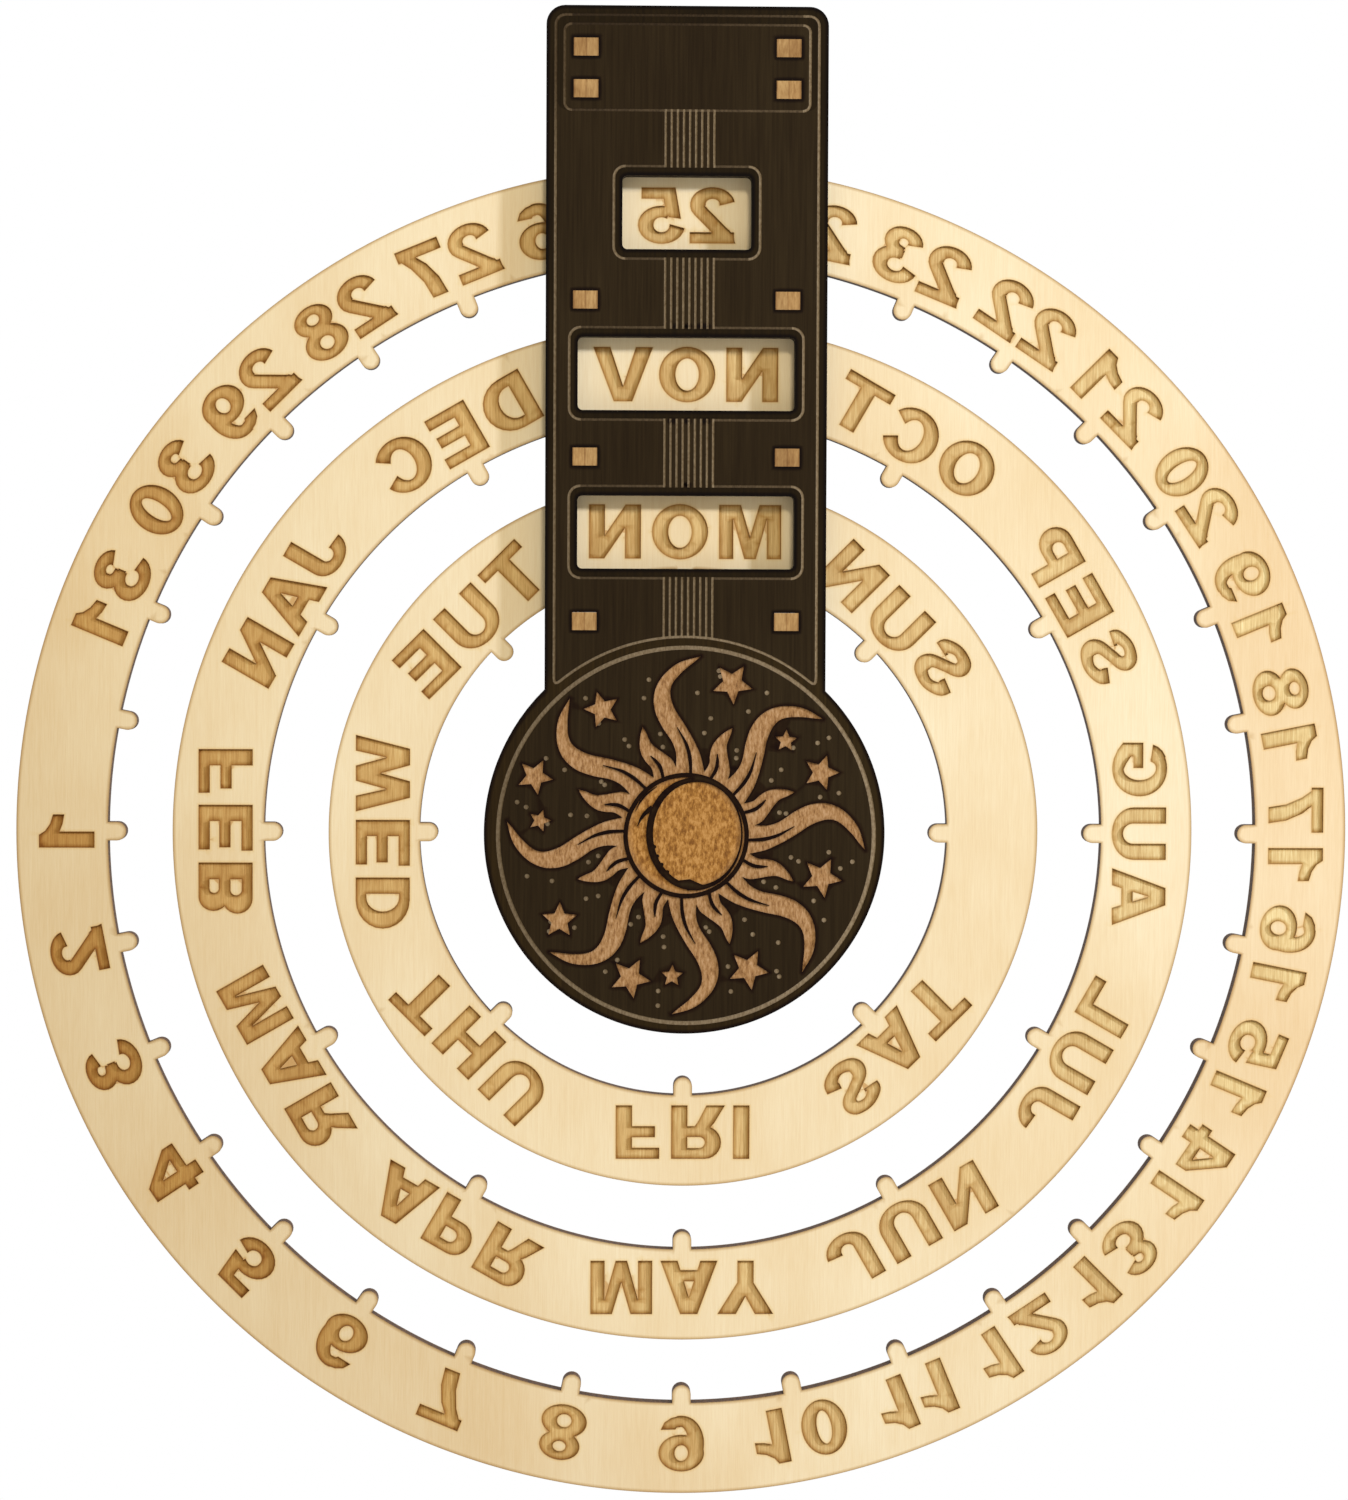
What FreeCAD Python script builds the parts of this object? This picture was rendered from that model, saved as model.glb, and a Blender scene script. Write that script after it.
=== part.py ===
import FreeCAD, Part
import math
import os

# A perpetual calendar for the wall. Three flat toothed rings, for the date, the month and the
# weekday, lie one inside the other and turn about one axis. A tall plate with a disc at its foot
# holds them: each ring runs between its front and back sheets, hangs on a saddle there, and
# shows one of its places through a window.
#
# Millimetres. X is to the right as seen from the front, Z is up, and the front faces -Y. The
# origin is where the rings' axis meets the wall. The sheets are stacked from the wall forwards,
# so a depth is a distance in front of the wall, and it counts towards -Y.

# The stack of sheets
BACK_SHEET = 4.0
RING_SHEET = 4.0
FRONT_SHEET = 4.0
RING_SIDE_GAP = 0.5

# The disc in the middle, and the rings around it with one open gap inside each
DISC_RADIUS = 45.0
RING_GAP = 14.5
RING_BAND = 20.5
DATE_TOOTH_COUNT = 32
MONTH_TOOTH_COUNT = 12
DAY_TOOTH_COUNT = 8
TOOTH_WIDTH = 4.2
TOOTH_LENGTH = 4.1

# The plate that both sheets share: a head above the date ring and straight sides down to the disc
PLATE_WIDTH = 63.0
HEAD_HEIGHT = 34.8
HEAD_CORNER_RADIUS = 4.2

# The windows, each lying a little below the middle of its ring's band
WINDOW_HEIGHT = 16.4
WINDOW_CORNER_RADIUS = 1.1
DATE_WINDOW_WIDTH = 28.9
WORD_WINDOW_WIDTH = 48.6
DATE_WINDOW_DROP = 0.85
MONTH_WINDOW_DROP = 1.75
DAY_WINDOW_DROP = 2.15

# The ribs, whose tabs pass through both sheets
RIB_MARGIN = 6.1
TAB_WIDTH = 5.5
TAB_HEIGHT = 4.0
RIB_SHOULDER = 2.4
TOP_ROW_DROP = 9.2
TOP_ROW_PITCH = 9.25
DATE_ROW_DROP = 6.0
MONTH_ROW_DROP = 6.0
DAY_ROW_DROP = 7.8
MORTISE_GAP = 0.1

# The saddles, each with a notch that marks the place of the tooth over it
TIP_GAP = 0.3
RING_EDGE_GAP = 0.5
NOTCH_DEPTH = 1.0
SPACER_INSET = 0.5
SPACER_JOINT = 0.2

# The keyhole in the back sheet, and the pocket behind it for a screw's head
KEYHOLE_RADIUS = 4.5
KEYHOLE_SLOT_WIDTH = 4.6
KEYHOLE_RISE = 8.0
KEYHOLE_DROP = 17.5
POCKET_MARGIN = 1.5

# Depths, worked out from the stack
CHANNEL_REAR = BACK_SHEET
RING_REAR = CHANNEL_REAR + RING_SIDE_GAP
RING_FRONT = RING_REAR + RING_SHEET
CHANNEL_FRONT = RING_FRONT + RING_SIDE_GAP
FRONT_FACE = CHANNEL_FRONT + FRONT_SHEET

# Outer radii of the rings, worked out from the disc outwards
RING_STEP = RING_GAP + RING_BAND
DAY_RADIUS = DISC_RADIUS + RING_STEP
MONTH_RADIUS = DAY_RADIUS + RING_STEP
DATE_RADIUS = MONTH_RADIUS + RING_STEP

# Places of the plate's features, worked out from the rings
PLATE_SIDE = PLATE_WIDTH / 2
PLATE_TOP = DATE_RADIUS + HEAD_HEIGHT
SPACER_RADIUS = DISC_RADIUS - SPACER_INSET
RIB_OUTER = PLATE_SIDE - RIB_MARGIN
RIB_INNER = RIB_OUTER - TAB_WIDTH
RIB_MIDDLE = (RIB_INNER + RIB_OUTER) / 2
KEYHOLE_HEIGHT = PLATE_TOP - KEYHOLE_DROP
TOP_ROW = PLATE_TOP - TOP_ROW_DROP
SECOND_ROW = TOP_ROW - TOP_ROW_PITCH


def bore_radius(ring_radius):
    """Radius of a ring's bore between its teeth."""
    return ring_radius - RING_BAND


def tip_radius(ring_radius):
    """Radius that the teeth of a ring reach in to."""
    return bore_radius(ring_radius) - TOOTH_LENGTH


DATE_ROW = tip_radius(DATE_RADIUS) - DATE_ROW_DROP
MONTH_ROW = tip_radius(MONTH_RADIUS) - MONTH_ROW_DROP
DAY_ROW = tip_radius(DAY_RADIUS) - DAY_ROW_DROP


def place(x, z):
    """A point of a front-view outline."""
    return FreeCAD.Vector(x, 0, z)


def line(start, end):
    return Part.LineSegment(start, end).toShape()


def arc(start, middle, end):
    return Part.Arc(start, middle, end).toShape()


def polygon(points):
    return Part.makePolygon(points + points[:1])


def height_on(radius, x):
    """Height at which the circle of this radius about the axis stands over x."""
    return math.sqrt(radius ** 2 - x ** 2)


def sheet(wires, rear, front):
    """Solid of an outline with its holes, between two depths."""
    face = Part.makeFace(wires, "Part::FaceMakerBullseye")
    solid = face.extrude(FreeCAD.Vector(0, rear - front, 0))
    solid.translate(FreeCAD.Vector(0, -rear, 0))
    return solid


def rectangle(x, z, width, height):
    left, right = x - width / 2, x + width / 2
    low, high = z - height / 2, z + height / 2
    return polygon([place(left, low), place(right, low), place(right, high), place(left, high)])


def turned(outward, across, angle):
    """Point this far outward along the angle and this far across it, counter-clockwise."""
    x = outward * math.cos(angle) - across * math.sin(angle)
    z = outward * math.sin(angle) + across * math.cos(angle)
    return place(x, z)


def rounded_rectangle(x, z, width, height, radius):
    """Rectangle about (x, z) with round corners, drawn counter-clockwise corner by corner."""
    reach_x = width / 2 - radius
    reach_z = height / 2 - radius
    corners = []
    for quarter, (side_x, side_z) in enumerate([(1, 1), (-1, 1), (-1, -1), (1, -1)]):
        centre = place(x + side_x * reach_x, z + side_z * reach_z)
        angles = [(quarter + part) * math.pi / 2 for part in (0, 0.5, 1)]
        corners.append([centre + turned(radius, 0, angle) for angle in angles])
    edges = []
    for corner, following in zip(corners, corners[1:] + corners[:1]):
        edges += [arc(*corner), line(corner[-1], following[0])]
    return Part.Wire(edges)


def toothed_bore(ring_radius, tooth_count):
    """Outline of a ring's bore: one round-ended tooth points inwards at each of its places."""
    bore = bore_radius(ring_radius)
    tip = tip_radius(ring_radius)
    half_width = TOOTH_WIDTH / 2
    root = height_on(bore, half_width)
    shoulder = tip + half_width
    pitch = 2 * math.pi / tooth_count
    edges = []
    for number in range(tooth_count):
        angle = math.pi / 2 + number * pitch
        near_root, far_root = turned(root, -half_width, angle), turned(root, half_width, angle)
        near_end, far_end = turned(shoulder, -half_width, angle), turned(shoulder, half_width, angle)
        edges.append(line(near_root, near_end))
        edges.append(arc(near_end, turned(tip, 0, angle), far_end))
        edges.append(line(far_end, far_root))
        next_root = turned(root, -half_width, angle + pitch)
        edges.append(arc(far_root, turned(bore, 0, angle + pitch / 2), next_root))
    return Part.Wire(edges)


def ring(ring_radius, tooth_count):
    """One flat ring with a smooth rim and a toothed bore."""
    rim = Part.Wire(Part.makeCircle(ring_radius, place(0, 0), FreeCAD.Vector(0, 1, 0)))
    return sheet([rim, toothed_bore(ring_radius, tooth_count)], RING_REAR, RING_FRONT)


def head_edges(foot):
    """Sides, round corners and top of the head, from a height on its right to the same on its left."""
    corner_x = PLATE_SIDE - HEAD_CORNER_RADIUS
    corner_z = PLATE_TOP - HEAD_CORNER_RADIUS
    right_middle = place(corner_x, corner_z) + turned(HEAD_CORNER_RADIUS, 0, math.pi / 4)
    left_middle = place(-corner_x, corner_z) + turned(HEAD_CORNER_RADIUS, 0, 3 * math.pi / 4)
    return [
        line(place(PLATE_SIDE, foot), place(PLATE_SIDE, corner_z)),
        arc(place(PLATE_SIDE, corner_z), right_middle, place(corner_x, PLATE_TOP)),
        line(place(corner_x, PLATE_TOP), place(-corner_x, PLATE_TOP)),
        arc(place(-corner_x, PLATE_TOP), left_middle, place(-PLATE_SIDE, corner_z)),
        line(place(-PLATE_SIDE, corner_z), place(-PLATE_SIDE, foot)),
    ]


def plate_outline():
    """Outline of the front and back sheets: the straight sides run down into the disc."""
    neck = height_on(DISC_RADIUS, PLATE_SIDE)
    disc_edge = arc(place(-PLATE_SIDE, neck), place(0, -DISC_RADIUS), place(PLATE_SIDE, neck))
    return Part.Wire(head_edges(neck) + [disc_edge])


def mortises():
    """The holes for the tabs, in pairs, from the top of the plate down."""
    width = TAB_WIDTH + 2 * MORTISE_GAP
    height = TAB_HEIGHT + 2 * MORTISE_GAP
    rows = [TOP_ROW, SECOND_ROW, DATE_ROW, MONTH_ROW, DAY_ROW]
    return [rectangle(side * RIB_MIDDLE, row, width, height) for row in rows for side in (-1, 1)]


def windows():
    """The three windows of the front sheet, one over each ring's band."""
    rows = [
        (DATE_RADIUS, DATE_WINDOW_WIDTH, DATE_WINDOW_DROP),
        (MONTH_RADIUS, WORD_WINDOW_WIDTH, MONTH_WINDOW_DROP),
        (DAY_RADIUS, WORD_WINDOW_WIDTH, DAY_WINDOW_DROP),
    ]
    openings = []
    for ring_radius, width, drop in rows:
        height = ring_radius - RING_BAND / 2 - drop
        openings.append(rounded_rectangle(0, height, width, WINDOW_HEIGHT, WINDOW_CORNER_RADIUS))
    return openings


def keyhole():
    """Round entry for a screw's head, with a narrow slot that rises from it."""
    half_slot = KEYHOLE_SLOT_WIDTH / 2
    mouth = KEYHOLE_HEIGHT + height_on(KEYHOLE_RADIUS, half_slot)
    slot_end = KEYHOLE_HEIGHT + KEYHOLE_RISE
    edges = [
        arc(place(-half_slot, mouth), place(0, KEYHOLE_HEIGHT - KEYHOLE_RADIUS), place(half_slot, mouth)),
        line(place(half_slot, mouth), place(half_slot, slot_end)),
        arc(place(half_slot, slot_end), place(0, slot_end + half_slot), place(-half_slot, slot_end)),
        line(place(-half_slot, slot_end), place(-half_slot, mouth)),
    ]
    return Part.Wire(edges)


def front_plate():
    return sheet([plate_outline()] + windows() + mortises(), CHANNEL_FRONT, FRONT_FACE)


def back_plate():
    return sheet([plate_outline(), keyhole()] + mortises(), 0, BACK_SHEET)


def head_pocket():
    """Room for the screw's head to enter the keyhole and rise behind its slot."""
    radius = KEYHOLE_RADIUS + POCKET_MARGIN
    low, high = KEYHOLE_HEIGHT, KEYHOLE_HEIGHT + KEYHOLE_RISE
    edges = [
        arc(place(-radius, low), place(0, low - radius), place(radius, low)),
        line(place(radius, low), place(radius, high)),
        arc(place(radius, high), place(0, high + radius), place(-radius, high)),
        line(place(-radius, high), place(-radius, low)),
    ]
    return Part.Wire(edges)


def head_rib_span():
    """Bottom and top of the ribs in the head, which carry two tabs on each side."""
    shoulder = TAB_HEIGHT / 2 + RIB_SHOULDER
    return SECOND_ROW - shoulder, TOP_ROW + shoulder


def top_spacer():
    """Fills the head between the sheets, down to the edge of the date ring."""
    edge = DATE_RADIUS + RING_EDGE_GAP
    foot = height_on(edge, PLATE_SIDE)
    arch = arc(place(-PLATE_SIDE, foot), place(0, edge), place(PLATE_SIDE, foot))
    outline = Part.Wire(head_edges(foot) + [arch])
    low, high = head_rib_span()
    slot_width = TAB_WIDTH + 2 * MORTISE_GAP
    slot_height = high - low + 2 * MORTISE_GAP
    slots = [
        rectangle(side * RIB_MIDDLE, (low + high) / 2, slot_width, slot_height) for side in (-1, 1)
    ]
    return sheet([outline, head_pocket()] + slots, CHANNEL_REAR, CHANNEL_FRONT)


def disc_spacer():
    """Round filler between the two discs."""
    rim = Part.Wire(Part.makeCircle(SPACER_RADIUS, place(0, 0), FreeCAD.Vector(0, 1, 0)))
    return sheet([rim], CHANNEL_REAR, CHANNEL_FRONT)


def saddle(ring_radius, foot_radius):
    """Arched block under a ring's top tooth: its notch is the tooth's resting place."""
    crown = tip_radius(ring_radius) - TIP_GAP
    notch_radius = TOOTH_WIDTH / 2 + TIP_GAP
    notch_centre = crown - NOTCH_DEPTH + notch_radius
    lip_z = (crown ** 2 + notch_centre ** 2 - notch_radius ** 2) / (2 * notch_centre)
    lip_x = math.sqrt(crown ** 2 - lip_z ** 2)
    shoulder = height_on(crown, RIB_INNER)
    foot = height_on(foot_radius, RIB_INNER)
    halfway = (RIB_INNER + lip_x) / 2
    edges = [
        line(place(RIB_INNER, foot), place(RIB_INNER, shoulder)),
        arc(place(RIB_INNER, shoulder), place(halfway, height_on(crown, halfway)), place(lip_x, lip_z)),
        arc(place(lip_x, lip_z), place(0, crown - NOTCH_DEPTH), place(-lip_x, lip_z)),
        arc(place(-lip_x, lip_z), place(-halfway, height_on(crown, halfway)), place(-RIB_INNER, shoulder)),
        line(place(-RIB_INNER, shoulder), place(-RIB_INNER, foot)),
        arc(place(-RIB_INNER, foot), place(0, foot_radius), place(RIB_INNER, foot)),
    ]
    return sheet([Part.Wire(edges)], CHANNEL_REAR, CHANNEL_FRONT)


def rib(side, rows, low, high):
    """Upright rib seen from the side: a body between the sheets, and a tab each way at every row."""
    half_tab = TAB_HEIGHT / 2
    rows = sorted(rows)
    front = [(CHANNEL_FRONT, low)]
    rear = [(CHANNEL_REAR, low)]
    for row in rows:
        front += [(CHANNEL_FRONT, row - half_tab), (FRONT_FACE, row - half_tab)]
        front += [(FRONT_FACE, row + half_tab), (CHANNEL_FRONT, row + half_tab)]
        rear += [(CHANNEL_REAR, row - half_tab), (0, row - half_tab)]
        rear += [(0, row + half_tab), (CHANNEL_REAR, row + half_tab)]
    outline = front + [(CHANNEL_FRONT, high), (CHANNEL_REAR, high)] + rear[::-1]
    near_x = side * RIB_MIDDLE - TAB_WIDTH / 2
    points = [FreeCAD.Vector(near_x, -depth, z) for depth, z in outline]
    return Part.Face(polygon(points)).extrude(FreeCAD.Vector(TAB_WIDTH, 0, 0))


def ring_rib(side, row, ring_radius, edge_below):
    """Rib beside a saddle, kept clear of the teeth over it and of the edge under it."""
    high = height_on(tip_radius(ring_radius) - TIP_GAP, RIB_OUTER)
    low = height_on(edge_below, RIB_INNER)
    return rib(side, [row], low, high)


MONTH_EDGE = MONTH_RADIUS + RING_EDGE_GAP
DAY_EDGE = DAY_RADIUS + RING_EDGE_GAP
DISC_EDGE = SPACER_RADIUS + SPACER_JOINT

parts = {
    "front_plate": front_plate(),
    "back_plate": back_plate(),
    "top_spacer": top_spacer(),
    "disc_spacer": disc_spacer(),
    "date_saddle": saddle(DATE_RADIUS, MONTH_EDGE),
    "month_saddle": saddle(MONTH_RADIUS, DAY_EDGE),
    "day_saddle": saddle(DAY_RADIUS, DISC_EDGE),
    "date_ring": ring(DATE_RADIUS, DATE_TOOTH_COUNT),
    "month_ring": ring(MONTH_RADIUS, MONTH_TOOTH_COUNT),
    "day_ring": ring(DAY_RADIUS, DAY_TOOTH_COUNT),
}
for side_name, side in (("left", -1), ("right", 1)):
    parts["top_rib_" + side_name] = rib(side, [TOP_ROW, SECOND_ROW], *head_rib_span())
    parts["date_rib_" + side_name] = ring_rib(side, DATE_ROW, DATE_RADIUS, MONTH_EDGE)
    parts["month_rib_" + side_name] = ring_rib(side, MONTH_ROW, MONTH_RADIUS, DAY_EDGE)
    parts["day_rib_" + side_name] = ring_rib(side, DAY_ROW, DAY_RADIUS, DISC_EDGE)

os.makedirs("parts", exist_ok=True)
for name, shape in parts.items():
    if not shape.isValid():
        print("not a valid solid:", name)
    shape.exportStep("parts/" + name + ".step")
print(len(parts), "parts written")
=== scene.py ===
import math

import bpy
from mathutils import Matrix, Vector, geometry, kdtree


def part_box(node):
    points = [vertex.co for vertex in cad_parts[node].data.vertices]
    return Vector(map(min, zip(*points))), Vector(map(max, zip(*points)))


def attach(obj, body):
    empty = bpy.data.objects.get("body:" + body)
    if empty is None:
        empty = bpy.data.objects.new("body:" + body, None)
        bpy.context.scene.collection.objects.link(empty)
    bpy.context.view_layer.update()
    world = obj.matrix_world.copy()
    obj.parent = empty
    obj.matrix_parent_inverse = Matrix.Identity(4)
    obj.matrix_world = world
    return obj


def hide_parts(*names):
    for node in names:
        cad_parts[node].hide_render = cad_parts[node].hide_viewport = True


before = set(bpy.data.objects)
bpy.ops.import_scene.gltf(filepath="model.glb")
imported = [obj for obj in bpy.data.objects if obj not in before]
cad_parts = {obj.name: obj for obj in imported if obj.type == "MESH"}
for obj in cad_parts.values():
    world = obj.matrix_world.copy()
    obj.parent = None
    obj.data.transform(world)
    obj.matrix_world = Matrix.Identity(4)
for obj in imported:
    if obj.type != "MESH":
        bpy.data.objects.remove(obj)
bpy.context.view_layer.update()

# A perpetual calendar for the wall: three toothed rings of pale plywood on a dark plate. The CAD
# nodes give every place and size. The rings and the front plate are replaced by meshes of the
# same outline, whose letters, lines and sunburst are really cut into the sheet.
#
# Plans are drawn in millimetres as seen from the front, x to the right and y up. A depth is a
# distance in front of the wall, which counts towards -Y in the frame.

MM = 0.001

# The photograph is mirrored, and so are its letters: 1 follows it, -1 makes them readable
MIRROR = 1

# The rings, whose places are counted from the top
TOOTH_WIDTH = 4.2
TOOTH_LENGTH = 4.1
RING_BAND = 20.5
MONTHS = ["NOV", "DEC", "JAN", "FEB", "MAR", "APR", "MAY", "JUN", "JUL", "AUG", "SEP", "OCT"]
DAYS = ["MON", "TUE", "WED", "THU", "FRI", "SAT", "", "SUN"]
DATES = [str(date) for date in range(25, 32)] + [""] + [str(date) for date in range(1, 25)]
DATE_LABEL_RADIUS = 138.7
MONTH_LABEL_RADIUS = 103.1
DAY_LABEL_RADIUS = 67.8
LETTER_HEIGHT = 12.1
DIGIT_HEIGHT = 12.4
LETTER_DEPTH = 0.6

# The front plate's outline and openings
DISC_RADIUS = 45.0
PLATE_SIDE = 31.5
HEAD_CORNER_RADIUS = 4.2
WINDOW_HEIGHT = 16.4
WINDOW_CORNER_RADIUS = 1.1
WINDOWS = [(138.9, 28.9), (103.0, 48.6), (67.6, 48.6)]
TAB_MIDDLE = 22.65
TAB_WIDTH = 5.5
TAB_HEIGHT = 4.0
TAB_ROWS = [175.6, 166.35, 119.4, 84.4, 47.6]
MORTISE_GAP = 0.02

# The lines cut into the front plate
LINE_WIDTH = 0.6
HALF_LINE = LINE_WIDTH / 2
LINE_DEPTH = 0.12
STRIPE_WIDTH = 0.5
GOLD_DEPTH = 0.35
BORDER_INSET = 2.1
BORDER_CORNER_RADIUS = 2.2
BORDER_ARCH_RADIUS = 44.2
BORDER_FOOT_ROUNDING = 1.9
PANEL_INSET = 4.1
PANEL_FOOT = 161.6
PANEL_CORNER_RADIUS = 1.6
FRAME_MARGIN_X = 1.9
FRAME_MARGIN_Y = 2.1
FRAME_CORNER_RADIUS = 2.6
STRIPE_COUNT = 9
STRIPE_PITCH = 1.36
STRIPE_MIDDLE = 0.6
STRIPE_REACH = (STRIPE_COUNT - 1) / 2 * STRIPE_PITCH
DISC_LINE_RADIUS = 42.2
DISC_LINE_WIDTH = 0.95

# The sunburst on the disc. A ray's points are its way out from the middle and its swing to the left.
# A star has its angle, its distance from the axis and the angle of one tip, and a dot, which comes
# again beside each ray, has its angle from the ray and its distance.
SUN_MIDDLE = (0.4, -0.4)
CORE_RADIUS = 13.1
CORE_RING_RADIUS = 14.1
CRESCENT_EDGE = (1.85, 0.35, 10.85, 12.7)
CORE_FACE = (2.45, 0.45, 9.9, 11.6)
CORE_WEDGE = [(-4.4, -9.6), (-1.6, -10.1), (0.9, -9.8), (2.4, -10.5), (4.3, -11.3), (0.5, -12.4)]
CRESCENT_STROKE = [(-11.0, 2.0), (-10.1, 3.9), (-8.9, 5.3), (-7.6, 6.3)]
CRESCENT_STROKE_WIDTHS = [0.05, 0.7, 1.0, 1.2]
CRESCENT_HAIR = [(-11.4, 5.4), (-10.3, 7.6), (-8.6, 9.5), (-6.6, 11.0)]
CRESCENT_HAIR_WIDTHS = [0.05, 0.4, 0.35, 0.05]
CRESCENT_TICKS = [195, 206, 217, 228]
TICK_RADIUS = 0.42
RAY_COUNT = 8
RAY_TURN = -3.0
LONG_RAY_LEFT = [
    (13.2, 3.3), (17.5, 3.2), (20.6, 4.2), (24.0, 6.7), (27.4, 8.5), (30.9, 9.0), (34.1, 8.1), (36.8, 6.1),
    (38.9, 3.3),
]
LONG_RAY_RIGHT = [
    (13.2, -3.6), (17.9, -2.3), (21.3, -0.6), (24.7, 1.6), (28.0, 4.0), (31.2, 5.3), (33.9, 5.0), (36.8, 2.8),
    (39.0, 0.4),
]
LONG_RAY_TIP = (40.4, -1.1)
LONG_RAY_VEIN = [(13.2, -0.3), (16.6, 0.0), (18.8, 0.5), (21.0, 1.4), (24.2, 3.4)]
SHORT_RAY_TURN = -20.0
SHORT_RAY_LEFT = [(13.2, 2.3), (16.6, 1.6), (18.6, 2.2), (20.6, 2.55), (22.6, 2.2), (24.7, 1.2)]
SHORT_RAY_RIGHT = [(13.2, -3.6), (16.6, -3.5), (18.6, -2.5), (20.6, -1.2), (22.4, -0.35), (24.7, -0.25)]
SHORT_RAY_TIP = (26.3, 0.0)
SHORT_RAY_VEIN = [(13.2, 0.1), (16.2, -0.3), (18.0, 0.1), (19.6, 0.8)]
VEIN_WIDTHS = [0.6, 0.85, 0.7, 0.05]
STARS_BY_RADIUS = [
    (4.7, [(72.5, 35.4, 57), (-17.5, 32.4, 63), (-64.5, 33.8, 63), (-110.3, 34.6, 63)]),
    (4.15, [(123.7, 33.5, 35), (24.3, 33.7, 0), (159.2, 35.9, 63), (-145.1, 34.1, 17)]),
    (2.6, [(42.7, 30.9, 15), (174.9, 32.6, 0), (-94.7, 32.1, 16)]),
]
STAR_WAIST = 0.46
DOTS = [
    (-8.2, 23.4), (-8.4, 26.2), (-28.3, 20.9), (-28.0, 22.9), (-2.5, 31.8), (-8.0, 36.0), (-7.0, 38.2),
    (-24.5, 31.6), (-27.0, 36.2),
]
DOT_RADIUS = 0.55
DOT_WANDER = 0.7
WANDER_BY_RAY = 2.4
WANDER_BY_DOT = 1.7

# How finely outlines are divided, and how far in from a cut edge a sheet is shaded
SIDE_STEP = 1.2
SAMPLE_STEP = SIDE_STEP / 4
HELPER_ROOM_SHARE = 0.93
LEAST_STRETCH = 0.3
NEAREST_CORNERS = 1e-5
SMOOTH_ANGLE = math.radians(30)
RING_SHADE_WIDTHS = (0.35, 0.9)
PLATE_SHADE_WIDTHS = (0.5, 1.9)


def box_of(node):
    """A node's lowest and highest corner, in millimetres."""
    low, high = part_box(node)
    return Vector(low) / MM, Vector(high) / MM


def reach_of(node):
    """Radius of a round node, kept inside its facets."""
    low, high = box_of(node)
    return min(-low.x, high.x, -low.z, high.z)


def depths_of(node):
    """Depth of a node's back and front."""
    low, high = box_of(node)
    return -high.y, -low.y


def polar(radius, angle, centre=(0, 0)):
    return Vector((centre[0] + radius * math.cos(angle), centre[1] + radius * math.sin(angle)))


def arc(centre, radius_x, radius_y, start, end, count):
    """Points along part of an ellipse, between two angles in degrees."""
    points = []
    for number in range(count + 1):
        angle = math.radians(start + (end - start) * number / count)
        x, y = radius_x * math.cos(angle), radius_y * math.sin(angle)
        points.append(Vector((centre[0] + x, centre[1] + y)))
    return points


def ellipse(x, y, radius_x, radius_y, count=40):
    return arc((x, y), radius_x, radius_y, 0, 360, count)[:-1]


def slab(left, low, right, high):
    """An upright rectangle."""
    return [Vector(corner) for corner in ((left, low), (right, low), (right, high), (left, high))]


def rounded_slab(left, low, right, high, radius, count=6):
    """An upright rectangle with round corners."""
    points = []
    corners = ((right, high, -1, -1), (left, high, 1, -1), (left, low, 1, 1), (right, low, -1, 1))
    for quarter, (x, y, inward_x, inward_y) in enumerate(corners):
        centre = (x + inward_x * radius, y + inward_y * radius)
        points += arc(centre, radius, radius, 90 * quarter, 90 * quarter + 90, count)
    return points


def curve(points, count=5):
    """A smooth line through the points."""
    knots = [2 * points[0] - points[1]] + points + [2 * points[-1] - points[-2]]
    line = []
    for before, start, end, after in zip(knots, knots[1:], knots[2:], knots[3:]):
        for number in range(count):
            share = number / count
            bend = 2 * start + (end - before) * share
            bend += (2 * before - 5 * start + 4 * end - after) * share ** 2
            bend += (3 * start - before - 3 * end + after) * share ** 3
            line.append(bend / 2)
    return line + [points[-1]]


def ways(line):
    """The direction of a line at each of its points."""
    last = len(line) - 1
    pairs = [(line[max(number - 1, 0)], line[min(number + 1, last)]) for number in range(last + 1)]
    return [(end - start).normalized() for start, end in pairs]


def ribbon(line, widths):
    """Outline of a band that follows a line, with a width for each of its points."""
    left, right = [], []
    for point, way, width in zip(line, ways(line), widths):
        across = Vector((-way.y, way.x)) * width / 2
        left.append(point + across)
        right.append(point - across)
    return left + right[::-1]


def area(loop):
    return sum(a.x * b.y - b.x * a.y for a, b in zip(loop, loop[1:] + loop[:1])) / 2


def evened(loop, step):
    """The loop counter-clockwise, with its long sides divided."""
    if area(loop) < 0:
        loop = loop[::-1]
    points = []
    for start, end in zip(loop, loop[1:] + loop[:1]):
        parts = max(1, math.ceil((end - start).length / step))
        points += [start.lerp(end, part / parts) for part in range(parts)]
    return points


def grown(loop, distance):
    """The loop moved outwards by a distance, with sharp corners kept short."""
    if area(loop) < 0:
        loop = loop[::-1]
    points = []
    for before, point, after in zip(loop[-1:] + loop[:-1], loop, loop[1:] + loop[:1]):
        first, second = (point - before).normalized(), (after - point).normalized()
        way = (first + second).normalized()
        stretch = max(way.dot(second), LEAST_STRETCH)
        points.append(point + Vector((way.y, -way.x)) * distance / stretch)
    return points


# What a shape of a plan leaves of the sheet: each shape is painted over the ones before it. The kind after
# LINE is the same line in painted shade, for stretches that run level.
HOLE, SHEET, CUT, LINE, SHADED_LINE, BAND = range(6)


def cut_line(loop, width, inside=SHEET):
    """A thin closed line cut along a loop."""
    return [(grown(loop, width / 2), LINE), (grown(loop, -width / 2), inside)]


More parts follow.
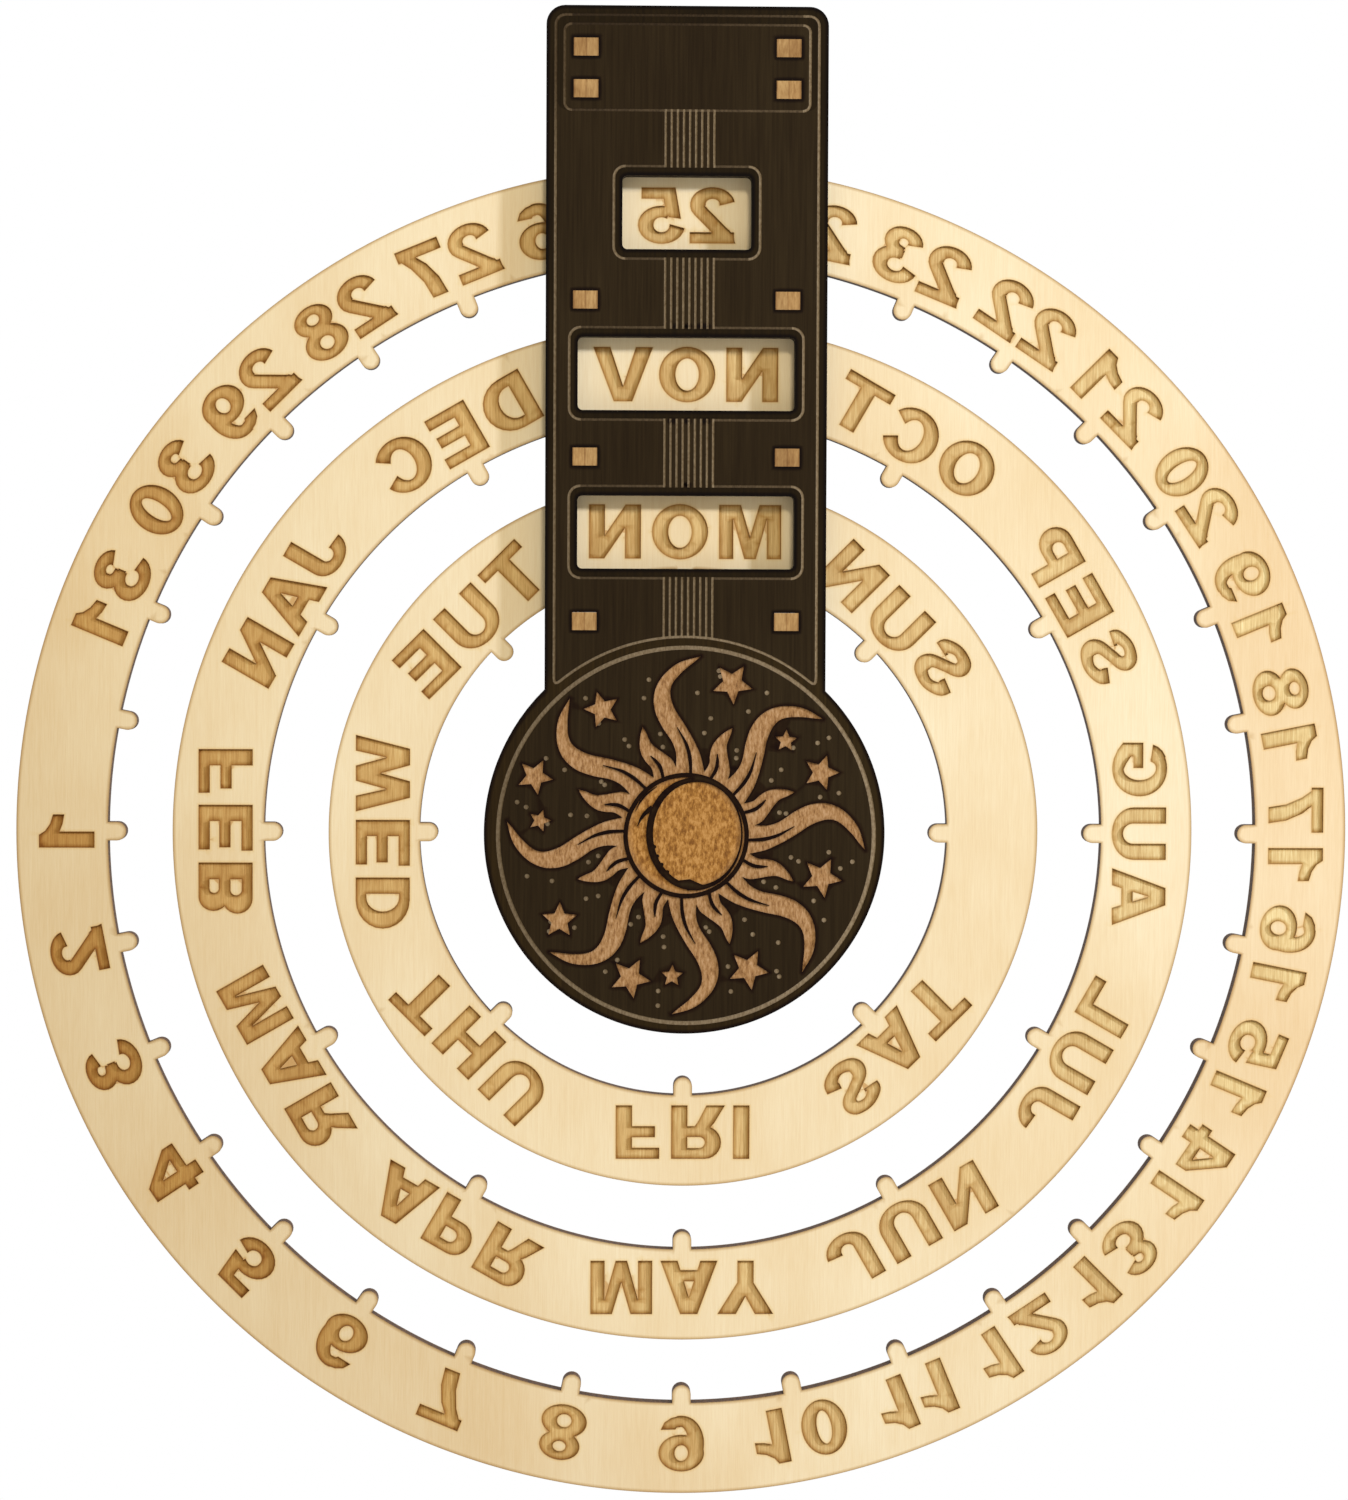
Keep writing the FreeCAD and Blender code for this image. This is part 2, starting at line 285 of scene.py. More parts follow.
def nearest(samples):
    """A lookup of the distance to the nearest of the samples, which may be none."""
    tree = kdtree.KDTree(len(samples))
    for number, point in enumerate(samples):
        tree.insert((point.x, point.y, 0), number)
    tree.balance()
    return lambda point: tree.find((point.x, point.y, 0))[2] if samples else math.inf


def helpers(loops, widths):
    """Points beside the outlines, so that what is told to a corner of the mesh fades from there."""
    distance_to = nearest([point for loop, kind in loops for point in evened(loop, SAMPLE_STEP)])
    taken = set()
    points = []
    for width in sorted(widths, reverse=True):
        for loop, kind in loops:
            for before, point, after in zip(loop[-1:] + loop[:-1], loop, loop[1:] + loop[:1]):
                way = (after - before).normalized()
                for side in (-1, 1):
                    spot = point + Vector((-way.y, way.x)) * side * width
                    cell = (width, round(spot.x / SIDE_STEP), round(spot.y / SIDE_STEP))
                    if cell in taken or distance_to(spot) < width * HELPER_ROOM_SHARE:
                        continue
                    taken.add(cell)
                    points.append(spot)
    return points


def triangulated(loops, extra):
    """Triangles of a plan as corners and what each leaves of the sheet."""
    points = []
    outlines = []
    for loop, kind in loops:
        outlines.append(list(range(len(points), len(points) + len(loop))))
        points += loop
    result = geometry.delaunay_2d_cdt(points + extra, [], outlines, 0, NEAREST_CORNERS, True)
    corners, triangles, owners = result[0], result[2], result[5]
    kinds = [loops[max(owner)][1] if owner else HOLE for owner in owners]
    triangles = [tri if area([corners[c] for c in tri]) > 0 else tri[::-1] for tri in triangles]
    return corners, triangles, kinds


def borders(triangles, kinds):
    """Every side of a triangle with what lies on its left and on its right."""
    beside = {}
    for triangle, kind in zip(triangles, kinds):
        for start, end in zip(triangle, triangle[1:] + triangle[:1]):
            beside[start, end] = kind
    return [(start, end, kind, beside.get((end, start), HOLE)) for (start, end), kind in beside.items()]


def along(corners, sides):
    """Samples along the sides."""
    samples = []
    for start, end in sides:
        first, last = corners[start], corners[end]
        parts = max(1, math.ceil((last - first).length / SAMPLE_STEP))
        samples += [first.lerp(last, part / parts) for part in range(parts)]
    return samples


def rim_of(sides):
    """The sides at which the sheet ends."""
    return [(start, end) for start, end, left, right in sides if left != HOLE and right == HOLE]


def placed(name, data):
    """A new object in the scene."""
    thing = bpy.data.objects.new(name, data)
    bpy.context.scene.collection.objects.link(thing)
    return thing


class Shell:
    """A closed mesh being put together from points of a plan and their depths."""

    def __init__(self):
        self.vertices = []
        self.faces = []
        self.looks = []
        self.distances = {"rim": [], "cut": []}
        self.index_at = {}

    def vertex(self, point, depth, to_rim=0.0, to_cut=0.0):
        key = (round(point.x, 3), round(point.y, 3), round(depth, 3))
        if key not in self.index_at:
            self.index_at[key] = len(self.vertices)
            self.vertices.append((point.x * MM, -depth * MM, point.y * MM))
            self.distances["rim"].append(to_rim)
            self.distances["cut"].append(to_cut)
        return self.index_at[key]

    def face(self, points, look):
        if len(set(points)) == len(points):
            self.faces.append(points)
            self.looks.append(look)

    def piece(self, name, materials):
        mesh = bpy.data.meshes.new(name)
        mesh.from_pydata(self.vertices, [], self.faces)
        for label, values in self.distances.items():
            mesh.attributes.new(label, "FLOAT", "POINT").data.foreach_set("value", values)
        for material in materials:
            mesh.materials.append(material)
        mesh.polygons.foreach_set("material_index", self.looks)
        mesh.shade_smooth()
        mesh.set_sharp_from_angle(angle=SMOOTH_ANGLE)
        mesh.update()
        return placed(name, mesh)


FACE_LOOK, FLOOR_LOOK, EDGE_LOOK, WALL_LOOK, LINE_LOOK, SHADED_LINE_LOOK, BAND_LOOK = range(7)
LOOK_OF = {SHEET: FACE_LOOK, CUT: FLOOR_LOOK, LINE: LINE_LOOK, SHADED_LINE: SHADED_LINE_LOOK, BAND: BAND_LOOK}


def carve(node, body, plan, cut_depth, materials, shade_widths):
    """Replaces a node by its sheet, with holes through it and cuts in its front, as one closed mesh."""
    rear, front = depths_of(node)
    line_depth = front - LINE_DEPTH
    depth_of = {HOLE: rear, SHEET: front, BAND: front, CUT: front - cut_depth}
    depth_of.update({LINE: line_depth, SHADED_LINE: line_depth})
    loops = [(evened(loop, SIDE_STEP), kind) for loop, kind in plan]
    shell = Shell()
    reach = max(shade_widths)

    corners, triangles, kinds = triangulated(loops, helpers(loops, shade_widths))
    sides = borders(triangles, kinds)
    cut_sides = [(start, end) for start, end, left, right in sides if left == SHEET and right == CUT]
    to_rim = nearest(along(corners, rim_of(sides)))
    to_cut = nearest(along(corners, cut_sides))
    told = [(min(to_rim(corner), reach), min(to_cut(corner), reach)) for corner in corners]
    for triangle, kind in zip(triangles, kinds):
        if kind != HOLE:
            shell.face([shell.vertex(corners[c], depth_of[kind], *told[c]) for c in triangle], LOOK_OF[kind])
    for start, end, left, right in sides:
        high, low = depth_of[left], depth_of[right]
        if left != HOLE and high > low:
            first, last = corners[start], corners[end]
            quad = [shell.vertex(*spot) for spot in ((first, high), (first, low), (last, low), (last, high))]
            shell.face(quad, EDGE_LOOK if right == HOLE else WALL_LOOK)

    outer = loops[:1] + [item for item in loops if item[1] == HOLE]
    corners, triangles, kinds = triangulated(outer, helpers(outer, shade_widths[-1:]))
    to_rim = nearest(along(corners, rim_of(borders(triangles, kinds))))
    for triangle, kind in zip(triangles, kinds):
        if kind != HOLE:
            points = [shell.vertex(corners[c], rear, min(to_rim(corners[c]), reach), reach) for c in triangle]
            shell.face(points[::-1], FACE_LOOK)

    piece = shell.piece(node + "_face", materials)
    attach(piece, body)
    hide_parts(node)


# Lettering: a plain heavy sans, drawn in shares of its own height
STEM_SHARE, DIGIT_STEM_SHARE, BAR_SHARE = 0.3, 0.28, 0.205
OVERSHOOT_SHARE = 0.012
STRAIGHT, OPEN, ROUND, TEE, POINTED = 0.125, 0.1, 0.085, 0.058, 0.035
PAIR_SHARES = {"AT": -0.05, "AY": -0.06, "JA": -0.07, "11": -0.17}


def pen(line, stem=STEM_SHARE):
    """Band along a line, wide where it runs upright and narrower where it lies."""
    widths = [math.hypot(stem * way.y, BAR_SHARE * way.x) for way in ways(line)]
    return ribbon(line, widths)


def points_of(*pairs):
    return [Vector(pair) for pair in pairs]


def ink(*outlines):
    return [(points_of(*outline), CUT) for outline in outlines]


def clear(*outlines):
    return [(points_of(*outline), SHEET) for outline in outlines]


def belly(left, low, right, high, round_x):
    """Outline with a straight left side and a round right side."""
    half_height = (high - low) / 2
    turn = arc((right - round_x, low + half_height), round_x, half_height, -90, 90, 12)
    return [Vector((left, low))] + turn + [Vector((left, high))]


def letters():
    """Each letter's space before it, width, space after it, and shapes."""
    stem, bar = STEM_SHARE, BAR_SHARE
    half_stem, half_bar = stem / 2, bar / 2
    top = 1 + OVERSHOOT_SHARE - half_bar
    foot = half_bar - OVERSHOOT_SHARE
    post = slab(0, 0, stem, 1)
    u_line = points_of((half_stem, 1)) + arc((0.49, 0.4), 0.49 - half_stem, 0.4 - foot, 180, 360, 20)
    u_line += points_of((0.98 - half_stem, 1))
    j_line = points_of((0.86 - half_stem, 1)) + arc((0.43, 0.33), 0.43 - half_stem, 0.33 - foot, 0, -180, 18)
    s_line = curve(points_of(
        (0.705, 0.71), (0.665, 0.835), (0.46, 0.913), (0.25, 0.86), (0.185, 0.735), (0.255, 0.625),
        (0.455, 0.545), (0.67, 0.445), (0.745, 0.3), (0.67, 0.16), (0.45, 0.087), (0.22, 0.16), (0.14, 0.325),
    ))
    a_outer = [
        (0, 0), (0.37, 1), (0.69, 1), (1.06, 0), (0.745, 0), (0.69, 0.175), (0.37, 0.175), (0.315, 0),
    ]
    a_inner = [(0.437, 0.385), (0.623, 0.385), (0.53, 0.69)]
    g_tip = [(0.655, 0.705), (0.965, 0.748), (0.925, 0.84), (0.85, 0.925), (0.74, 0.985), (0.6, 0.8)]
    g_jaw = [
        (0.745, 0.45), (0.745, 0.335), (0.62, 0.25), (0.5, 0.195), (0.52, -OVERSHOOT_SHARE), (0.7, 0.015),
        (0.86, 0.085), (1.0, 0.185), (1.0, 0.45),
    ]
    m_outline = [
        (0, 0), (0, 1), (0.4, 1), (0.575, 0.41), (0.75, 1), (1.15, 1), (1.15, 0), (0.89, 0), (0.89, 0.74),
        (0.68, 0), (0.47, 0), (0.26, 0.74), (0.26, 0),
    ]
    n_outline = [
        (0, 0), (0, 1), (0.28, 1), (0.67, 0.43), (0.67, 1), (0.96, 1), (0.96, 0), (0.68, 0), (0.29, 0.57),
        (0.29, 0),
    ]
    h_bar = slab(0, 0.4, 0.97, 0.4 + bar)
    o_inner = ellipse(0.52, 0.5, 0.22, 0.3)
    r_leg = [(0.36, 0.5), (0.66, 0.5), (0.8, 0.33), (1.0, 0), (0.66, 0), (0.5, 0.31)]
    v_outline = [(0, 1), (0.31, 1), (0.55, 0.28), (0.79, 1), (1.1, 1), (0.72, 0), (0.38, 0)]
    w_outline = [
        (0, 1), (0.29, 1), (0.415, 0.44), (0.57, 1), (0.85, 1), (1.005, 0.44), (1.13, 1), (1.42, 1),
        (1.165, 0), (0.86, 0), (0.71, 0.54), (0.56, 0), (0.255, 0),
    ]
    y_outline = [
        (0, 1), (0.34, 1), (0.52, 0.67), (0.7, 1), (1.04, 1), (0.67, 0.41), (0.67, 0), (0.37, 0),
        (0.37, 0.41),
    ]
    shapes = {
        "A": (POINTED, 1.06, POINTED, ink(a_outer) + clear(a_inner)),
        "C": (ROUND, 1.0, ROUND, ink(pen(arc((0.52, 0.5), 0.52 - half_stem, top - 0.5, 31, 332, 32)))),
        "E": (STRAIGHT, 0.85, OPEN, ink(post, slab(0, 0, 0.85, bar), slab(0, 1 - bar, 0.83, 1))),
        "F": (STRAIGHT, 0.81, OPEN, ink(post, slab(0, 1 - bar, 0.81, 1), slab(0, 0.39, 0.73, 0.39 + bar))),
        "G": (ROUND, 1.0, STRAIGHT, ink(g_tip, g_jaw, slab(0.53, 0.385, 1.0, 0.563))),
        "H": (STRAIGHT, 0.97, STRAIGHT, ink(post, slab(0.97 - stem, 0, 0.97, 1), h_bar)),
        "I": (STRAIGHT, stem, STRAIGHT, ink(post)),
        "J": (POINTED, 0.86, STRAIGHT, ink(pen(j_line))),
        "L": (STRAIGHT, 0.79, OPEN, ink(post, slab(0, 0, 0.79, 0.23))),
        "M": (STRAIGHT, 1.15, STRAIGHT, ink(m_outline)),
        "N": (STRAIGHT, 0.96, STRAIGHT, ink(n_outline)),
        "O": (ROUND, 1.04, ROUND, ink(ellipse(0.52, 0.5, 0.52, 0.512)) + clear(o_inner)),
        "S": (ROUND, 0.92, ROUND, ink(pen(s_line))),
        "T": (TEE, 0.96, TEE, ink(slab(0, 1 - bar, 0.96, 1), slab(0.48 - half_stem, 0, 0.48 + half_stem, 1))),
        "U": (STRAIGHT, 0.98, STRAIGHT, ink(pen(u_line))),
        "V": (POINTED, 1.1, POINTED, ink(v_outline)),
        "W": (POINTED, 1.42, POINTED, ink(w_outline)),
        "Y": (POINTED, 1.04, POINTED, ink(y_outline)),
    }
    shapes["E"][-1].extend(ink(slab(0, 0.41, 0.79, 0.41 + bar)))
    shapes["G"][-1].extend(ink(pen(arc((0.52, 0.5), 0.52 - half_stem, top - 0.5, 46, 292, 28))))
    b_shapes = ink(belly(0, 0, 0.95, 0.56, 0.28), belly(0, 0.45, 0.9, 1, 0.26))
    b_shapes += clear(belly(0.31, 0.2, 0.61, 0.41, 0.1), belly(0.31, 0.625, 0.565, 0.8, 0.08))
    shapes["B"] = (STRAIGHT, 0.95, OPEN, b_shapes)
    d_shapes = ink(belly(0, 0, 0.95, 1, 0.53)) + clear(belly(0.3, 0.195, 0.635, 0.805, 0.26))
    shapes["D"] = (STRAIGHT, 0.95, ROUND, d_shapes)
    p_shapes = ink(post, belly(0, 0.36, 0.87, 1, 0.32)) + clear(belly(0.3, 0.56, 0.58, 0.8, 0.12))
    shapes["P"] = (STRAIGHT, 0.87, OPEN, p_shapes)
    r_shapes = ink(post, belly(0, 0.39, 0.93, 1, 0.3), r_leg) + clear(belly(0.3, 0.59, 0.63, 0.8, 0.11))
    shapes["R"] = (STRAIGHT, 1.0, POINTED, r_shapes)
    return shapes


def digits():
    """The ten digits, told as the letters are."""
    stem, half_bar = DIGIT_STEM_SHARE, BAR_SHARE / 2
    top = 1 + OVERSHOOT_SHARE - half_bar
    foot = half_bar - OVERSHOOT_SHARE
    side = 0.057
    one = [
        (0.31, 0), (0.31, 0.63), (0.17, 0.575), (0, 0.545), (0, 0.745), (0.17, 0.8), (0.3, 0.89), (0.37, 1),
        (0.6, 1), (0.6, 0),
    ]
    two = arc((0.41, 0.695), 0.265, top - 0.695, 174, -28, 18) + points_of((0.19, 0.14))
    two_foot = [(0, 0), (0.03, 0.12), (0.11, 0.25), (0.36, 0.2), (0.36, 0)]
    three_top = arc((0.405, 0.735), 0.22, top - 0.735, 176, -84, 18) + points_of((0.36, 0.55))
    three_foot = points_of((0.36, 0.53)) + arc((0.4, 0.31), 0.285, 0.31 - foot, 88, -176, 20)
    four = [
        (0.47, 1), (0.755, 1), (0.755, 0.4), (0.88, 0.4), (0.88, 0.19), (0.755, 0.19), (0.755, 0), (0.48, 0),
        (0.48, 0.19), (0, 0.19), (0, 0.41),
    ]
    five = arc((0.4, 0.33), 0.285, 0.33 - foot, 118, -174, 22)
    five_neck = [(0.15, 1), (0.39, 1), (0.335, 0.63), (0.27, 0.47), (0.05, 0.44)]
    six_tip = [
        (0.42, 1 + OVERSHOOT_SHARE), (0.6, 0.97), (0.72, 0.89), (0.79, 0.755), (0.525, 0.76), (0.5, 0.795),
        (0.42, 0.81),
    ]
    six_back = arc((0.42, 0.5), 0.28, top - 0.5, 215, 78, 20)
    six = ink(pen(six_back, stem), six_tip, ellipse(0.415, 0.325, 0.415, 0.337))
    six += clear(ellipse(0.415, 0.325, 0.125, 0.145))
    nine = [([Vector((0.83, 1)) - point for point in loop], kind) for loop, kind in six]
    seven = [
        (0.82, 0.87), (0.64, 0.62), (0.51, 0.32), (0.46, 0), (0.17, 0), (0.22, 0.32), (0.35, 0.62),
        (0.5, 0.81),
    ]
    eight = ink(ellipse(0.415, 0.745, 0.37, 0.267), ellipse(0.415, 0.29, 0.415, 0.302))
    eight += clear(ellipse(0.415, 0.76, 0.12, 0.095), ellipse(0.415, 0.285, 0.135, 0.12))
    nought = ink(ellipse(0.415, 0.5, 0.415, 0.512)) + clear(ellipse(0.415, 0.5, 0.135, 0.31))
    three = ink(pen(three_top, stem), pen(three_foot, stem), slab(0.33, 0.455, 0.5, 0.6))
    return {
        "0": (side, 0.83, side, nought),
        "1": (0.12, 0.6, 0.23, ink(one)),
        "2": (side, 0.82, side, ink(pen(two, stem), slab(0.02, 0, 0.82, 0.2), two_foot)),
        "3": (side, 0.83, side, three),
        "4": (0.03, 0.88, 0.03, ink(four) + clear([(0.48, 0.4), (0.48, 0.7), (0.24, 0.4)])),
        "5": (side, 0.83, side, ink(pen(five, stem), slab(0.15, 0.8, 0.76, 1), five_neck)),
        "6": (side, 0.83, side, six),
        "7": (side, 0.82, side, ink(slab(0, 0.79, 0.82, 1), seven)),
        "8": (side, 0.83, side, eight),
        "9": (side, 0.83, side, nine),
    }


GLYPHS = {**letters(), **digits()}


def label(text, height, radius, angle):
    """A word's shapes, standing outwards on a ring, centred on an angle."""
    shapes = []
    reach = 0.0
    for number, sign in enumerate(text):
        before, width, after, glyph = GLYPHS[sign]
        reach += PAIR_SHARES.get(text[number - 1:number + 1], 0) if number else -before
        reach += before
        shapes += [([point + Vector((reach, -0.5)) for point in loop], kind) for loop, kind in glyph]
        reach += width + after
    middle = (reach - after) / 2
    out = polar(1, angle)
    across = Vector((-out.y, out.x)) * MIRROR
    turned = []
    for loop, kind in shapes:
        points = [out * (radius + p.y * height) + across * ((p.x - middle) * height) for p in loop]
        turned.append((points, kind))
    return turned


def toothed_bore(bore, tooth_count):
    """Outline of a ring's bore, with a round-ended tooth pointing inwards at each place."""
    half_width = TOOTH_WIDTH / 2
    shoulder = bore - TOOTH_LENGTH + half_width
    root = math.sqrt(bore ** 2 - half_width ** 2)
    root_turn = math.asin(half_width / bore)
    pitch = 2 * math.pi / tooth_count
    rest_of_bore = pitch - 2 * root_turn
    count = max(3, round(rest_of_bore * bore / SIDE_STEP))
    points = []
    for number in range(tooth_count):
        angle = math.pi / 2 + number * pitch
        turn = Matrix.Rotation(angle, 2)
        points.append(turn @ Vector((root, -half_width)))
        points += [turn @ point for point in arc((shoulder, 0), half_width, half_width, 270, 90, 12)]
        start = angle + root_turn
        points += [polar(bore, start + rest_of_bore * part / count) for part in range(count)]
    return points


def ring(body, labels, height, label_radius, looks):
    """A ring with its labels cut in, one at each tooth."""
    node = body + "_ring"
    radius = reach_of(node)
    rim_count = round(2 * math.pi * radius / SIDE_STEP)
    plan = [(ellipse(0, 0, radius, radius, rim_count), SHEET)]
    plan.append((toothed_bore(radius - RING_BAND, len(labels)), HOLE))
    for place, text in enumerate(labels):
        if text:
            angle = math.pi / 2 + MIRROR * place * 2 * math.pi / len(labels)
            plan += label(text, height, label_radius, angle)
    carve(node, body, plan, LETTER_DEPTH, looks, RING_SHADE_WIDTHS)


def plate_outline(top):
    """The plate's outer edge: a head with round corners, straight sides, and the disc."""
    neck = math.sqrt(DISC_RADIUS ** 2 - PLATE_SIDE ** 2)
    neck_angle = math.degrees(math.atan2(neck, PLATE_SIDE))
    corner_x, corner_y = PLATE_SIDE - HEAD_CORNER_RADIUS, top - HEAD_CORNER_RADIUS
    corner = HEAD_CORNER_RADIUS
    points = arc((corner_x, corner_y), corner, corner, 0, 90, 8)
    points += arc((-corner_x, corner_y), corner, corner, 90, 180, 8)
    points += arc((0, 0), DISC_RADIUS, DISC_RADIUS, 180 - neck_angle, 360 + neck_angle, 190)
    return points


def border_line(top):
    """The line that follows the head's edge and arches over the disc."""
    side, head = PLATE_SIDE - BORDER_INSET, top - BORDER_INSET
    corner = BORDER_CORNER_RADIUS
    end = math.degrees(math.acos(side / BORDER_ARCH_RADIUS))
    lift = math.degrees(BORDER_FOOT_ROUNDING / BORDER_ARCH_RADIUS)
    foot = polar(BORDER_ARCH_RADIUS, math.radians(end))
    points = arc((side - corner, head - corner), corner, corner, 0, 90, 6)
    points += arc((corner - side, head - corner), corner, corner, 90, 180, 6)
    arch = arc((0, 0), BORDER_ARCH_RADIUS, BORDER_ARCH_RADIUS, 180 - end - lift, end + lift, 60)
    for sign, last in ((-1, arch[0]), (1, arch[-1])):
        tip = Vector((sign * foot.x, foot.y))
        start = tip + Vector((0, BORDER_FOOT_ROUNDING))
        bend = [start.lerp(tip, share).lerp(tip.lerp(last, share), share) for share in (0, 0.25, 0.5, 0.75)]
        points += bend + arch if sign < 0 else bend[::-1]
    return points


def tapered(points, widths):
    """A curved stroke whose width runs through the given widths."""
    line = curve(points)
    run = []
    for number in range(len(line)):
        step = number * (len(widths) - 1) / len(line)
        first, last = widths[int(step)], widths[int(step) + 1]
        run.append(first + (last - first) * (step % 1))
    return ribbon(line, run)


def sprung(points, angle):
    """Points given by their way out and their swing to the left, turned to an angle."""
    out = polar(1, angle)
    return [out * far + Vector((-out.y, out.x)) * aside for far, aside in points]


def ray(left, right, tip, vein, angle):
    """One wavy ray between two edges, with a dark vein left standing in it."""
    left_edge = curve(sprung(left + [tip], angle))
    right_edge = curve(sprung(right + [tip], angle))
    return [(left_edge + right_edge[-2::-1], CUT), (tapered(sprung(vein, angle), VEIN_WIDTHS), SHEET)]


def star(place, radius):
    """A five-pointed star at its angle and distance, turned to its tip."""
    centre = polar(place[1], math.radians(place[0]))
    tip = math.radians(place[2])
    points = []
    for number in range(10):
        reach = radius if number % 2 == 0 else radius * STAR_WAIST
        points.append(polar(reach, tip + number * math.pi / 5, centre))
    return points


def core():
    """The sun's middle: a disc that covers a crescent, with a few strokes of shading."""
    shapes = [
        (ellipse(0, 0, CORE_RING_RADIUS, CORE_RING_RADIUS, 72), SHEET),
        (ellipse(0, 0, CORE_RADIUS, CORE_RADIUS, 72), CUT),
        (ellipse(*CRESCENT_EDGE, 60), SHEET),
        (tapered(points_of(*CRESCENT_STROKE), CRESCENT_STROKE_WIDTHS), SHEET),
        (tapered(points_of(*CRESCENT_HAIR), CRESCENT_HAIR_WIDTHS), SHEET),
        (ellipse(*CORE_FACE, 60), CUT),
        (points_of(*CORE_WEDGE), SHEET),
    ]
    x, y, radius_x, radius_y = CORE_FACE
    for angle in map(math.radians, CRESCENT_TICKS):
        middle = (x + radius_x * math.cos(angle), y + radius_y * math.sin(angle))
        shapes.append((ellipse(*middle, TICK_RADIUS, TICK_RADIUS, 8), SHEET))
    return shapes


def sunburst():
    """A common sun-and-crescent ornament: wavy rays about a disc, with dots between."""
    shapes = []
    for number in range(RAY_COUNT):
        angle = math.pi / 2 + math.radians(RAY_TURN) + number * 2 * math.pi / RAY_COUNT
        for order, (turn, far) in enumerate(DOTS):
            wander = WANDER_BY_RAY * number + WANDER_BY_DOT * order
            swing = math.radians(turn + 2 * DOT_WANDER * math.cos(wander))
            spot = polar(far + DOT_WANDER * math.sin(wander), angle + swing)
            shapes.append((ellipse(spot.x, spot.y, DOT_RADIUS, DOT_RADIUS, 10), LINE))
        shapes += ray(LONG_RAY_LEFT, LONG_RAY_RIGHT, LONG_RAY_TIP, LONG_RAY_VEIN, angle)
        short_angle = angle + math.radians(SHORT_RAY_TURN)
        shapes += ray(SHORT_RAY_LEFT, SHORT_RAY_RIGHT, SHORT_RAY_TIP, SHORT_RAY_VEIN, short_angle)
    shapes += core()
    middle = Vector(SUN_MIDDLE)
    shapes = [([point + middle for point in loop], kind) for loop, kind in shapes]
    for radius, places in STARS_BY_RADIUS:
        shapes += [(star(place, radius), CUT) for place in places]
    return shapes


def head_lines(top):
    """The border's line, the head's darker ground and the panel's line, in painted shade where they run
    level.
    """
    side, panel_side = PLATE_SIDE - BORDER_INSET - HALF_LINE, PLATE_SIDE - PANEL_INSET
    border_top, panel_top = top - BORDER_INSET, top - PANEL_INSET
    head = rounded_slab(-side, PANEL_FOOT, side, border_top - HALF_LINE, BORDER_CORNER_RADIUS)
    panel = rounded_slab(-panel_side, PANEL_FOOT, panel_side, panel_top, PANEL_CORNER_RADIUS)
    shapes = cut_line(border_line(top), LINE_WIDTH) + [(head, BAND)] + cut_line(panel, LINE_WIDTH)
    reach = panel_side - PANEL_CORNER_RADIUS
    # The level stretches of the lines in painted shade
    for line in (border_top, panel_top, PANEL_FOOT):
        shapes.append((slab(-reach, line - HALF_LINE, reach, line + HALF_LINE), SHADED_LINE))
    return shapes


def frame_ends(middle):
    """Foot and top of the line around a window."""
    reach = WINDOW_HEIGHT / 2 + FRAME_MARGIN_Y
    return middle - reach, middle + reach


def window_frames():
    """A line around each window, in painted shade where it runs level and open where the stripes meet it."""
    shapes = []
    for middle, width in WINDOWS:
        reach = width / 2 + FRAME_MARGIN_X
        low, high = frame_ends(middle)
        shapes += cut_line(rounded_slab(-reach, low, reach, high, FRAME_CORNER_RADIUS), LINE_WIDTH, BAND)
        reach -= FRAME_CORNER_RADIUS
        left, right = STRIPE_MIDDLE - STRIPE_REACH, STRIPE_MIDDLE + STRIPE_REACH
        # The level stretches in painted shade, broken where the stripes meet them
        for line in (low, high):
            shapes.append((slab(-reach, line - HALF_LINE, reach, line + HALF_LINE), SHADED_LINE))
            shapes.append((slab(left, line - HALF_LINE, right, line + HALF_LINE), SHEET))
    return shapes


def pinstripes():
    """Upright stripes from the disc's arch to the head's panel, broken by the windows."""
    ends = [PANEL_FOOT]
    for middle, width in WINDOWS:
        ends += frame_ends(middle)[::-1]
    shapes = []
    for number in range(STRIPE_COUNT):
        x = STRIPE_MIDDLE - STRIPE_REACH + number * STRIPE_PITCH
        stops = ends + [math.sqrt(BORDER_ARCH_RADIUS ** 2 - x ** 2)]
        for high, low in zip(stops[::2], stops[1::2]):
            left, right = x - STRIPE_WIDTH / 2, x + STRIPE_WIDTH / 2
            shapes.append((slab(left, low - HALF_LINE, right, high + HALF_LINE), LINE))
    return shapes


def openings():
    """The windows, and the holes that the ribs' tabs fill."""
    shapes = []
    for middle, width in WINDOWS:
        x, y = width / 2, WINDOW_HEIGHT / 2
        shapes.append((rounded_slab(-x, middle - y, x, middle + y, WINDOW_CORNER_RADIUS), HOLE))
    reach_x, reach_y = TAB_WIDTH / 2 + MORTISE_GAP, TAB_HEIGHT / 2 + MORTISE_GAP
    for row in TAB_ROWS:
        for x in (-TAB_MIDDLE, TAB_MIDDLE):
            shapes.append((slab(x - reach_x, row - reach_y, x + reach_x, row + reach_y), HOLE))
    return shapes


def front_plate(looks):
    """The dark plate: its outline, windows and tab holes, with its lines and sunburst cut in."""
    top = box_of("front_plate")[1].z
    plan = [(plate_outline(top), BAND)]
    plan += head_lines(top) + window_frames() + pinstripes() + openings()
    plan += cut_line(ellipse(*SUN_MIDDLE, DISC_LINE_RADIUS, DISC_LINE_RADIUS, 180), DISC_LINE_WIDTH)
    plan += sunburst()
    carve("front_plate", "frame", plan, GOLD_DEPTH, looks, PLATE_SHADE_WIDTHS)


def colour(red, green, blue):
    """A colour as written on a screen, in shares of 255, turned into the renderer's linear values."""
    shares = [value / 255 for value in (red, green, blue)]
    return [s / 12.92 if s <= 0.04045 else ((s + 0.055) / 1.055) ** 2.4 for s in shares] + [1]


